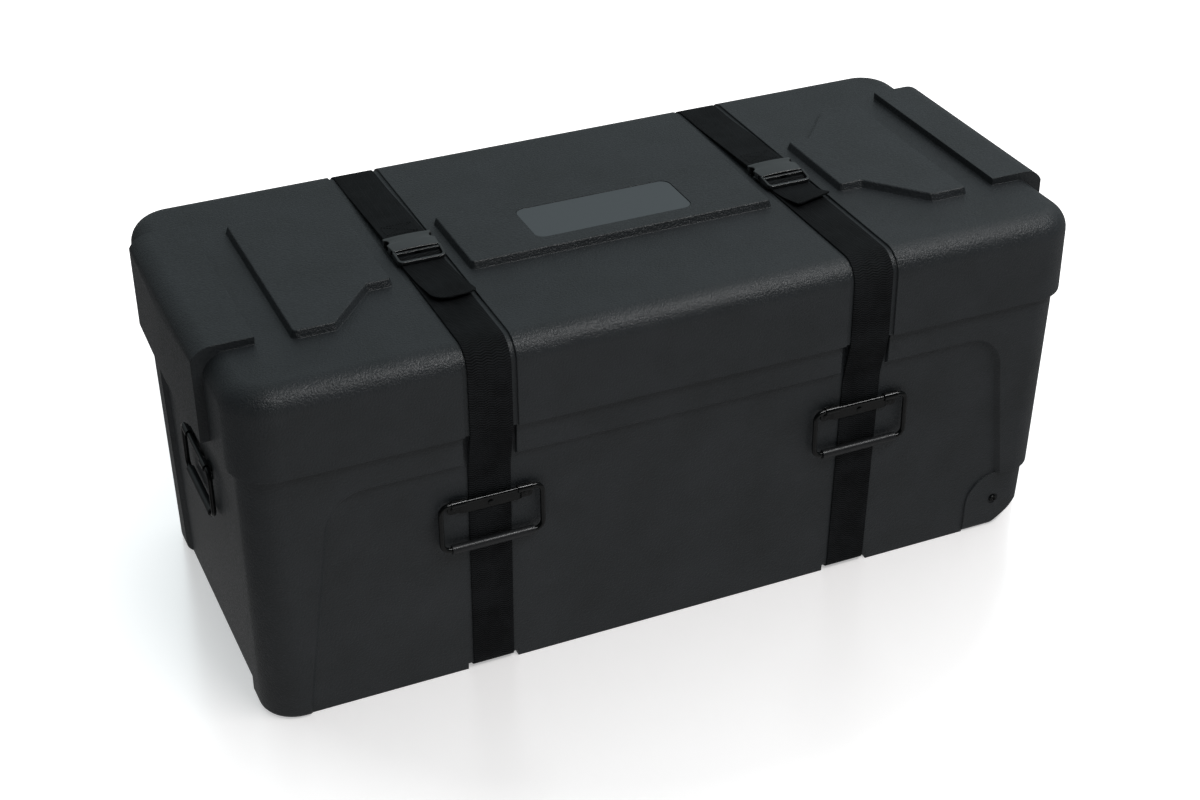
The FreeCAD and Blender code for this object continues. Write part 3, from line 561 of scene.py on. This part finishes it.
def slab_ring(half, low, high, radius, crown):
    """Cross-section of a flat bar with rounded edges and a crowned top, as distances across and up."""
    spots = []
    for centre_x, centre_z, first in (
        (half - radius, high - radius, 0), (radius - half, high - radius, 90),
        (radius - half, low + radius, 180), (half - radius, low + radius, 270),
    ):
        spots += rounded_corner(centre_x, centre_z, radius, first)
        if first == 0:
            spots += [(half * share, high) for share in (0.6, 0.3, 0.0, -0.3, -0.6)]
        if first == 180:
            spots += [(half * share, low) for share in (-0.6, 0.0, 0.6)]
    middle = (low + high) / 2
    return [(a * MM, (b - (crown * (a / half) ** 2 if b > middle else 0)) * MM) for a, b in spots]


def slab(x, start, end, half_at, low, high, radius, crown=0.0):
    """Flat bar along Y with rounded ends, whose half width changes along it."""
    stations = [start + radius * (1 - math.cos(math.radians(angle))) for angle in (0, 30, 60, 90)]
    run = end - start - 2 * radius
    count = max(1, round(run / SLAB_STEP))
    stations += [start + radius + run * (index + 1) / count for index in range(count)]
    stations += [end - radius * (1 - math.sin(math.radians(angle))) for angle in (30, 60, 90)]

    def ring(index):
        y = stations[index]
        inset = radius - min(radius, y - start, end - y)
        sunk = radius - math.sqrt(max(0, radius ** 2 - inset ** 2))
        return slab_ring(half_at(y) - sunk, low + sunk, high - sunk, radius, crown)

    path = [Vector((x * MM, y * MM, 0)) for y in stations]
    return swept(path, Vector((1, 0, 0)), ring)


def strap_bar(x, y):
    """Round bar across a buckle, which a band goes round."""
    path = [Vector((x - BAR_HALF, y, BAR_HEIGHT)) * MM, Vector((x + BAR_HALF, y, BAR_HEIGHT)) * MM]
    way = (path[1] - path[0]).normalized()
    circle = round_ring(BAR_RADIUS, 20)
    return swept(path, way.orthogonal().normalized(), lambda index: circle)


def scalloped_half(y):
    """Half width of the socket, with a round scallop in its side."""
    half = BUCKLE_HALF - NOSE_TAPER * max(0, (NOSE_START - y) / (NOSE_START - SOCKET_FRONT))
    reach = SCALLOP_RADIUS ** 2 - (y - SCALLOP_Y) ** 2
    return min(half, SCALLOP_X - math.sqrt(reach)) if reach > 0 else half


def buckle_socket(name, x):
    """Socket half: crowned top, floor, the walls inside its scallops, its side posts and its rear bar."""
    wall_foot = SOCKET_FLOOR + WALL_SINK
    top = slab(
        x, SOCKET_FRONT, SOCKET_BACK, scalloped_half, SOCKET_TOP - TOP_THICKNESS, SOCKET_TOP, TOP_EDGE,
        CROWN)
    floor = slab(
        x, SOCKET_FRONT, FLOOR_BACK, lambda y: scalloped_half(y) - FLOOR_INSET, SOCKET_FLOOR,
        SOCKET_FLOOR + FLOOR_THICKNESS, FLOOR_EDGE)
    wall = slab(
        x, WALL_FRONT, WALL_BACK, lambda y: scalloped_half(y) - WALL_INSET, wall_foot, WALL_TOP, WALL_EDGE)
    meshes = [top, floor, wall]
    for sign in (-1, 1):
        meshes.append(slab(
            x + sign * CHEEK_X, SOCKET_FRONT + CHEEK_INSET, CHEEK_BACK, lambda y: CHEEK_HALF, wall_foot,
            CHEEK_TOP, WALL_EDGE))
        meshes.append(slab(
            x + sign * POST_X, POST_FRONT, SOCKET_BACK - POST_INSET, lambda y: POST_HALF, SOCKET_FLOOR,
            WALL_TOP, POST_EDGE))
    meshes.append(strap_bar(x, REAR_BAR_Y))
    return gathered(name, meshes)


acetal = satin_acetal()
for side, x in (("left", -STRAP_X), ("right", STRAP_X)):
    socket = buckle_socket(side + "_buckle_sleeve", x)
    fit(socket, acetal, "lid", "buckle_plastic", side + "_buckle_socket")

# Plug halves: each is a collar with a middle guide and an open frame. The band climbs round the frame's
# inner bar and leaves under its front bar, and the two prongs spring from the collar.

FRAME_FRONT = -35.4
FRAME_ARM_X = 27.2
FRAME_LEAN = 0.6
FRAME_TURN = 4.5
FRAME_STEP = 1.5
FRAME_TOP = 445.2
FRAME_RISE = 3.4
FRAME_CLEARANCE = 0.3
FRAME_EDGE = 0.9
ARM_HALF = 1.5
FRONT_SWELL = 0.6
COLLAR_FRONT = -19.4
COLLAR_BACK = -15.4
COLLAR_HALF = 26.6
COLLAR_FLOOR = SOCKET_FLOOR + 3.0
COLLAR_TOP = 447.4
COLLAR_EDGE = 0.7
GUIDE_BACK = 3.0
GUIDE_HALF = 4.0
GUIDE_GAP = 3.1
GUIDE_EDGE = 0.6
GRIP_FLOOR = LID_RUN + 3.3
PRONG_ARRIS = 0.45 * MM


def buckle_frame(name, x):
    """Plug half without its prongs: arms that slope down to a rounded front bar, with the inner bar, the
    collar and the guide between them."""
    points = [
        (-FRAME_ARM_X, COLLAR_BACK), (-FRAME_ARM_X + FRAME_LEAN, FRAME_FRONT),
        (FRAME_ARM_X - FRAME_LEAN, FRAME_FRONT), (FRAME_ARM_X, COLLAR_BACK),
    ]
    line = eased_path(points, [FRAME_TURN, FRAME_TURN], FRAME_STEP)

    def ring(index):
        share = max(0, (line[index].y - FRAME_FRONT) / (COLLAR_BACK - FRAME_FRONT))
        drop = GRIP_FLOOR - SOCKET_FLOOR - FRAME_CLEARANCE
        low = GRIP_FLOOR - drop * min(1, 3 * share) + FRAME_EDGE
        high = FRAME_TOP + FRAME_RISE * share ** 0.8 - FRAME_EDGE
        inner = ARM_HALF + FRONT_SWELL * (1 - min(1, 4 * share)) - FRAME_EDGE
        spots = []
        for centre_a, centre_b, first in (
            (high, inner, 0), (low, inner, 90), (low, -inner, 180), (high, -inner, 270),
        ):
            spots += rounded_corner(centre_a, centre_b, FRAME_EDGE, first)
        return [(a * MM, b * MM) for a, b in spots]

    loop = swept([Vector((x + spot.x, spot.y, 0)) * MM for spot in line], Vector((0, 0, 1)), ring)
    collar = slab(
        x, COLLAR_FRONT, COLLAR_BACK, lambda y: COLLAR_HALF, COLLAR_FLOOR, COLLAR_TOP, COLLAR_EDGE)
    guide = slab(
        x, COLLAR_FRONT, GUIDE_BACK, lambda y: GUIDE_HALF, SOCKET_FLOOR + GUIDE_GAP, SOCKET_TOP - GUIDE_GAP,
        GUIDE_EDGE)
    return gathered(name, [loop, collar, guide, strap_bar(x, FRAME_BAR_Y)])


for side, x in (("left", -STRAP_X), ("right", STRAP_X)):
    plug = buckle_frame(side + "_buckle_plug", x)
    fit(plug, acetal, "lid", "buckle_plastic", side + "_buckle_frame")
    for letter in "ab":
        node = f"{side}_buckle_prong_{letter}"
        prong = eased_copy(f"{side}_prong_{letter}", node, PRONG_ARRIS)
        fit(prong, acetal, node, "buckle_plastic", node)

# Bail handles: a pressed steel bracket riveted through the wall holds a loop of 6 mm wire in two
# knuckles, all stoved glossy black. A rolled sleeve on the run that the hand holds is powder coated.

WIRE_RADIUS = 3.0
BAIL_HALF = 60.0
BAIL_DROP = 59.0
BAIL_TURN = 10.0
BAIL_STEP = 6.0
STAND_OFF = 6.2
HANDLE_HEIGHT = 245.0
# The walls' lean over the height of the base, from the draft of the sides and of the ends
SIDE_TAPER = math.atan2(13.0, RIM)
END_TAPER = math.atan2(2.5, RIM)
SIDE_PANEL_Y = -223.036
END_PANEL_X = -497.834
BRACKET_ARRIS = 0.45 * MM
RIVET_PITCH = 43.0
RIVET_DROP = 10.5
BRACKET_SEAT = 1.5
RAISED_SEAT = 3.9
# Rise from each point of a rivet's profile to the next, so that points at one height keep a direction
PROFILE_STEP = 1e-4
# Distance out from the wall and radius, from the tail inside the case to the top of the domed head
RIVET_PROFILE = [
    (-9.1, 0.2), (-9.1, 2.8), (-8.7, 3.5), (-7.9, 3.6), (-7.5, 3.4), (-7.5, 2.0), (0.0, 2.0), (0.0, 3.4),
    (0.25, 3.6), (0.6, 3.45), (1.05, 2.9), (1.4, 2.0), (1.58, 1.0), (1.6, 0.2)]


def stoved_enamel():
    """Glossy stoved enamel on steel: near black, with a slight orange peel and dulled handling marks."""
    peel = 2.5 * MM

    def textures(tree):
        place = add(tree, "TexCoord").outputs["Object"]
        skin = add(tree, "TexNoise", {"Vector": place, "Scale": 1 / peel, "Detail": 1.0})
        marks = add(tree, "TexNoise", {"Vector": place, "Scale": 1 / (9 * MM), "Detail": 5.0})
        gloss = add(tree, "MapRange", {
            "Value": marks.outputs["Fac"], "From Min": 0.35, "From Max": 0.75,
            "To Min": 0.12, "To Max": 0.24})
        tint = add(tree, "ValToRGB", {"Fac": marks.outputs["Fac"]})
        tint.color_ramp.elements[0].color = linear("#020303")
        tint.color_ramp.elements[1].color = linear("#060707")
        peeled = add(tree, "Bump", {"Height": skin.outputs["Fac"], "Strength": 0.3, "Distance": 0.05 * MM})
        return {
            "Base Color": tint.outputs["Color"],
            "Roughness": gloss.outputs["Result"],
            "Normal": peeled.outputs["Normal"],
        }

    return finish("stoved_enamel", {"Coat Weight": 0.2}, textures)


def satin_powder():
    """Satin powder coat on steel: a softer black than the enamel, with a broad dull highlight."""
    def textures(tree):
        place = add(tree, "TexCoord").outputs["Object"]
        wear = add(tree, "TexNoise", {"Vector": place, "Scale": 1 / (7 * MM), "Detail": 4.0})
        grit = add(tree, "TexNoise", {"Vector": place, "Scale": 1 / (0.9 * MM), "Detail": 1.0})
        gloss = add(tree, "MapRange", {
            "Value": wear.outputs["Fac"], "From Min": 0.3, "From Max": 0.7,
            "To Min": 0.30, "To Max": 0.42})
        rough = add(tree, "Bump", {"Height": grit.outputs["Fac"], "Strength": 0.3, "Distance": 0.05 * MM})
        return {
            "Base Color": linear("#1b1c1e"),
            "Roughness": gloss.outputs["Result"],
            "Normal": rough.outputs["Normal"],
        }

    return finish("satin_powder", {"Specular IOR Level": 0.6}, textures)


def zinc_plate():
    """Bright zinc plating on steel: pale metal with a soft mottled gloss."""
    def textures(tree):
        place = add(tree, "TexCoord").outputs["Object"]
        mottle = add(tree, "TexNoise", {"Vector": place, "Scale": 1 / (3 * MM), "Detail": 3.0})
        tint = add(tree, "ValToRGB", {"Fac": mottle.outputs["Fac"]})
        tint.color_ramp.elements[0].color = linear("#a9acac")
        tint.color_ramp.elements[1].color = linear("#c6c8c6")
        gloss = add(tree, "MapRange", {"Value": mottle.outputs["Fac"], "To Min": 0.25, "To Max": 0.42})
        return {"Base Color": tint.outputs["Color"], "Roughness": gloss.outputs["Result"]}

    return finish("zinc_plate", {"Metallic": 1.0}, textures)


def bail(name, pivot, across, out):
    """Closed loop of wire that hangs from its upper run."""
    corners = [
        (0, 0), (BAIL_HALF, 0), (BAIL_HALF, -BAIL_DROP), (-BAIL_HALF, -BAIL_DROP), (-BAIL_HALF, 0), (0, 0)]
    line = eased_path(corners, [BAIL_TURN] * 4, BAIL_STEP)[:-1]
    path = [pivot + (across * spot.x + Vector((0, 0, 1)) * spot.y) * MM for spot in line]
    circle = round_ring(WIRE_RADIUS, 18)
    return gathered(name, [swept(path, out, lambda index: circle, closed=True)])


def rivets(name, origin, across, up, out):
    """Three rivets with domed heads, the middle one seated on the bracket's raised part."""
    meshes = []
    for place, seat in ((-RIVET_PITCH, BRACKET_SEAT), (0, RAISED_SEAT), (RIVET_PITCH, BRACKET_SEAT)):
        foot = origin + (across * place - up * RIVET_DROP) * MM
        heights = [height + (seat if height >= 0 else 0) for height, radius in RIVET_PROFILE]
        path = [foot + out * height * MM for height in heights]
        path = [spot + out * MM * PROFILE_STEP * index for index, spot in enumerate(path)]
        meshes.append(swept(path, across, lambda index: round_ring(RIVET_PROFILE[index][1], 20)))
    return gathered(name, meshes)


enamel = stoved_enamel()
powder = satin_powder()
zinc = zinc_plate()
side_up = Vector((0, -math.sin(SIDE_TAPER), math.cos(SIDE_TAPER)))
end_up = Vector((-math.sin(END_TAPER), 0, math.cos(END_TAPER)))
handle_places = (
    ("left_handle", Vector((-STRAP_X, SIDE_PANEL_Y, HANDLE_HEIGHT)), Vector((1, 0, 0)), side_up),
    ("right_handle", Vector((STRAP_X, SIDE_PANEL_Y, HANDLE_HEIGHT)), Vector((1, 0, 0)), side_up),
    ("end_handle", Vector((END_PANEL_X, 0, HANDLE_HEIGHT)), Vector((0, -1, 0)), end_up),
)
for handle, place, across, up in handle_places:
    origin = place * MM
    out = across.cross(up)
    pivot = origin + out * STAND_OFF * MM
    wire = bail(handle + "_wire", pivot, across, across.cross(Vector((0, 0, 1))))
    fit(wire, enamel, handle + "_bail", "black_steel", handle + "_bail")
    sleeve = eased_copy(handle + "_sleeve", handle + "_grip", BRACKET_ARRIS)
    fit(sleeve, powder, handle + "_bail", "black_steel", handle + "_grip")
    pressing = eased_copy(handle + "_pressing", handle + "_bracket", BRACKET_ARRIS)
    fit(pressing, enamel, "base", "black_steel", handle + "_bracket")
    heads = rivets(handle + "_domed_rivets", origin, across, up, out)
    fit(heads, enamel, "base", "black_steel", handle + "_rivets")
    backing = eased_copy(handle + "_backing", handle + "_backing_plate", BRACKET_ARRIS)
    fit(backing, zinc, "base", "plated_steel", handle + "_backing_plate")

# Wheels: a rubber tyre on a moulded nylon hub turns on an M8 bolt through the lower corner of the case.
# Washers keep it in the middle of its pocket, and a nut holds the bolt inside.

WHEEL_ARRIS = 0.6 * MM


def rubber_tyre():
    """Moulded rubber: deep matt black with a fine bloom that dulls it unevenly."""
    def textures(tree):
        place = add(tree, "TexCoord").outputs["Object"]
        bloom = add(tree, "TexNoise", {"Vector": place, "Scale": 1 / (12 * MM), "Detail": 4.0})
        pores = add(tree, "TexNoise", {"Vector": place, "Scale": 1 / (0.8 * MM), "Detail": 1.0})
        tint = add(tree, "ValToRGB", {"Fac": bloom.outputs["Fac"]})
        tint.color_ramp.elements[0].color = linear("#121213")
        tint.color_ramp.elements[1].color = linear("#1d1d1e")
        rough = add(tree, "Bump", {
            "Height": pores.outputs["Fac"], "Strength": 0.4, "Distance": 0.1 * MM})
        return {"Base Color": tint.outputs["Color"], "Normal": rough.outputs["Normal"]}

    return finish("rubber_tyre", {"Roughness": 0.75, "Specular IOR Level": 0.35}, textures)


def moulded_nylon():
    """Injection-moulded nylon hub: dark grey, slightly mottled, with a satin gloss."""
    def textures(tree):
        place = add(tree, "TexCoord").outputs["Object"]
        flow = add(tree, "TexNoise", {"Vector": place, "Scale": 1 / (6 * MM), "Detail": 3.0})
        tint = add(tree, "ValToRGB", {"Fac": flow.outputs["Fac"]})
        tint.color_ramp.elements[0].color = linear("#242527")
        tint.color_ramp.elements[1].color = linear("#2f3032")
        gloss = add(tree, "MapRange", {"Value": flow.outputs["Fac"], "To Min": 0.38, "To Max": 0.52})
        return {"Base Color": tint.outputs["Color"], "Roughness": gloss.outputs["Result"]}

    return finish("moulded_nylon", {"Specular IOR Level": 0.45}, textures)


tyre_rubber = rubber_tyre()
hub_nylon = moulded_nylon()
wheel_pieces = (
    ("tyre", tyre_rubber, "{}_wheel", "wheel_tyre"), ("hub", hub_nylon, "{}_wheel", "wheel_hub"),
    ("washers", zinc, "base", "plated_steel"), ("axle_bolt", enamel, "base", "black_steel"),
    ("axle_nut", zinc, "base", "plated_steel"),
)
for wheel in ("front", "rear"):
    for part, material, body, slot in wheel_pieces:
        node = f"{wheel}_wheel_{part}"
        arris = WHEEL_ARRIS if part in ("tyre", "hub") else BRACKET_ARRIS
        fit(eased_copy(f"{wheel}_{part}_eased", node, arris), material, body.format(wheel), slot, node)

# Studio: the case stands on a sheet of white acrylic under a pale sky that is brighter to one side, with
# two soft area lamps, and is seen by the camera that took the photograph.

SHEET_HALF = 8.0
# Levels of the sheet towards the camera alone, above 1, so that it clips to white clear of the shadow
MATT_LEVELS = (1.54, 1.45, 1.43, 1)
MIRROR_LEVELS = (4.0, 4.0, 4.0, 1)
MIRROR_ROUGHNESS = 0.22
GLOW_LEVEL = 1.6
# Distance from the middle of the case at which the sheet starts and ends its change to plain glow
FADE_START = 0.5
FADE_END = 1.0
GLOW_AT_CASE = 0.3
MIRROR_AT_CASE = 0.2
# Levels of the sheet for the light that falls on the case, and in the case's gloss from left to right
MATT_BOUNCE = 1.0
GLOSS_BOUNCE = (0.05, 0.18)
GLOSS_BOUNCE_X = (-0.8, -0.55)


def white_acrylic():
    """Glossy white acrylic sheet: near the case it takes the shadow and a soft mirror image, and further
    out it fades to plain white. What the case itself reflects of it is dimmed."""
    made = bpy.data.materials.new("white_acrylic")
    made.use_nodes = True
    tree = made.node_tree
    tree.nodes.clear()
    matt = add(tree, "BsdfDiffuse", {"Color": MATT_LEVELS})
    mirror = add(tree, "BsdfGlossy", {"Color": MIRROR_LEVELS, "Roughness": MIRROR_ROUGHNESS})
    glow = add(tree, "Emission", {"Strength": GLOW_LEVEL})
    spot = add(tree, "TexCoord").outputs["Object"]
    range_out = add(tree, "VectorMath", {0: spot}, operation="LENGTH").outputs["Value"]
    glowing = add(tree, "MapRange", {
        "Value": range_out, "From Min": FADE_START, "From Max": FADE_END,
        "To Min": GLOW_AT_CASE, "To Max": 1.0})
    mirroring = add(tree, "MapRange", {
        "Value": range_out, "From Min": FADE_START, "From Max": FADE_END,
        "To Min": MIRROR_AT_CASE, "To Max": 0.0})
    body = add(tree, "MixShader", {0: glowing.outputs[0], 1: matt.outputs[0], 2: glow.outputs[0]})
    lit = add(tree, "MixShader", {0: mirroring.outputs[0], 1: body.outputs[0], 2: mirror.outputs[0]})
    seen = add(tree, "LightPath")
    place = add(tree, "SeparateXYZ", {"Vector": spot})
    mirrored = add(tree, "MapRange", {
        "Value": place.outputs["X"], "From Min": GLOSS_BOUNCE_X[0], "From Max": GLOSS_BOUNCE_X[1],
        "To Min": GLOSS_BOUNCE[0], "To Max": GLOSS_BOUNCE[1]})
    bounce = add(tree, "MapRange", {
        "Value": seen.outputs["Is Glossy Ray"],
        "To Min": MATT_BOUNCE, "To Max": mirrored.outputs["Result"]})
    dim = add(tree, "Emission", {"Strength": bounce.outputs["Result"]})
    both = add(tree, "MixShader", {0: seen.outputs["Is Camera Ray"], 1: dim.outputs[0], 2: lit.outputs[0]})
    add(tree, "OutputMaterial", {"Surface": both.outputs[0]})
    return made


sheet_mesh = bpy.data.meshes.new("acrylic_sheet")
sheet_mesh.from_pydata(
    [(-SHEET_HALF, -SHEET_HALF, 0), (SHEET_HALF, -SHEET_HALF, 0), (SHEET_HALF, SHEET_HALF, 0),
     (-SHEET_HALF, SHEET_HALF, 0)], [], [(0, 1, 2, 3)])
sheet_mesh.materials.append(white_acrylic())
object_from("acrylic_sheet", sheet_mesh)

# Way towards the bright side of the sky, and the levels of its dark and bright sides
BRIGHT_WAY = (0.35, 0.63, 0.69)
SKY_LEVELS = (0.07, 1.0)
# Share of those levels that lights matt surfaces and that shows in gloss, and their tone, as linear colour
MATT_SHARE = 0.72
GLOSS_SHARE = 0.335
SKY_TONE = (0.88, 1.0, 1.03, 1)

world = bpy.data.worlds.new("studio")
bpy.context.scene.world = world
world.use_nodes = True
sky = world.node_tree
sky.nodes.clear()
rays = add(sky, "LightPath")
looking = add(sky, "TexCoord").outputs["Generated"]
toward = add(sky, "VectorMath", {0: looking, 1: BRIGHT_WAY}, operation="DOT_PRODUCT")
brightness = add(sky, "MapRange", {
    "Value": toward.outputs["Value"], "From Min": 0.05, "From Max": 0.95,
    "To Min": SKY_LEVELS[0], "To Max": SKY_LEVELS[1]})
share = add(sky, "MapRange", {
    "Value": rays.outputs["Is Glossy Ray"], "To Min": MATT_SHARE, "To Max": GLOSS_SHARE})
dimmed = add(sky, "Math", {0: brightness.outputs["Result"], 1: share.outputs["Result"]},
             operation="MULTIPLY")
level = add(sky, "Math", {0: rays.outputs["Is Camera Ray"], 1: dimmed.outputs[0]}, operation="MAXIMUM")
tone = add(sky, "MixRGB", {
    "Fac": rays.outputs["Is Camera Ray"], "Color1": SKY_TONE, "Color2": (1, 1, 1, 1)})
white = add(sky, "Background", {"Color": tone.outputs[0], "Strength": level.outputs[0]})
add(sky, "OutputWorld", {"Surface": white.outputs[0]})


def soft_box(name, place, aim, width, depth, power):
    """Area lamp that faces a point."""
    lamp = bpy.data.lights.new(name, "AREA")
    lamp.shape = "RECTANGLE"
    lamp.size = width
    lamp.size_y = depth
    lamp.energy = power
    made = object_from(name, lamp)
    made.location = place
    made.rotation_euler = (Vector(aim) - Vector(place)).to_track_quat("-Z", "Y").to_euler()


soft_box("top_box", (1.1, 0.0, 1.6), (0.3, 0, 0.4), 1.0, 1.0, 3)
soft_box("front_box", (0.7, -1.45, 2.35), (0, 0, 0.4), 2.0, 0.25, 28)

# Place of the camera, in metres and degrees, worked out from the case's own edges in the photograph
CAMERA_PLACE = Vector((-0.8740, -2.0089, 1.5412))
CAMERA_YAW = math.radians(23.467)
CAMERA_PITCH = math.radians(31.884)
CAMERA_ROLL = math.radians(0.505)
CAMERA_LENS = 62.61
CAMERA_SENSOR = 36.0

ahead = Vector((
    math.sin(CAMERA_YAW) * math.cos(CAMERA_PITCH), math.cos(CAMERA_YAW) * math.cos(CAMERA_PITCH),
    -math.sin(CAMERA_PITCH)))
level_right = Vector((math.cos(CAMERA_YAW), -math.sin(CAMERA_YAW), 0))
level_down = ahead.cross(level_right)
camera_right = math.cos(CAMERA_ROLL) * level_right + math.sin(CAMERA_ROLL) * level_down
camera_down = -math.sin(CAMERA_ROLL) * level_right + math.cos(CAMERA_ROLL) * level_down
lens = bpy.data.cameras.new("photo_camera")
lens.lens = CAMERA_LENS
lens.sensor_width = CAMERA_SENSOR
lens.sensor_fit = "HORIZONTAL"
camera = object_from("photo_camera", lens)
camera.matrix_world = Matrix.Translation(CAMERA_PLACE) @ Matrix(
    (camera_right, -camera_down, -ahead)).transposed().to_4x4()
bpy.context.scene.camera = camera
bpy.context.scene.view_settings.view_transform = "Standard"
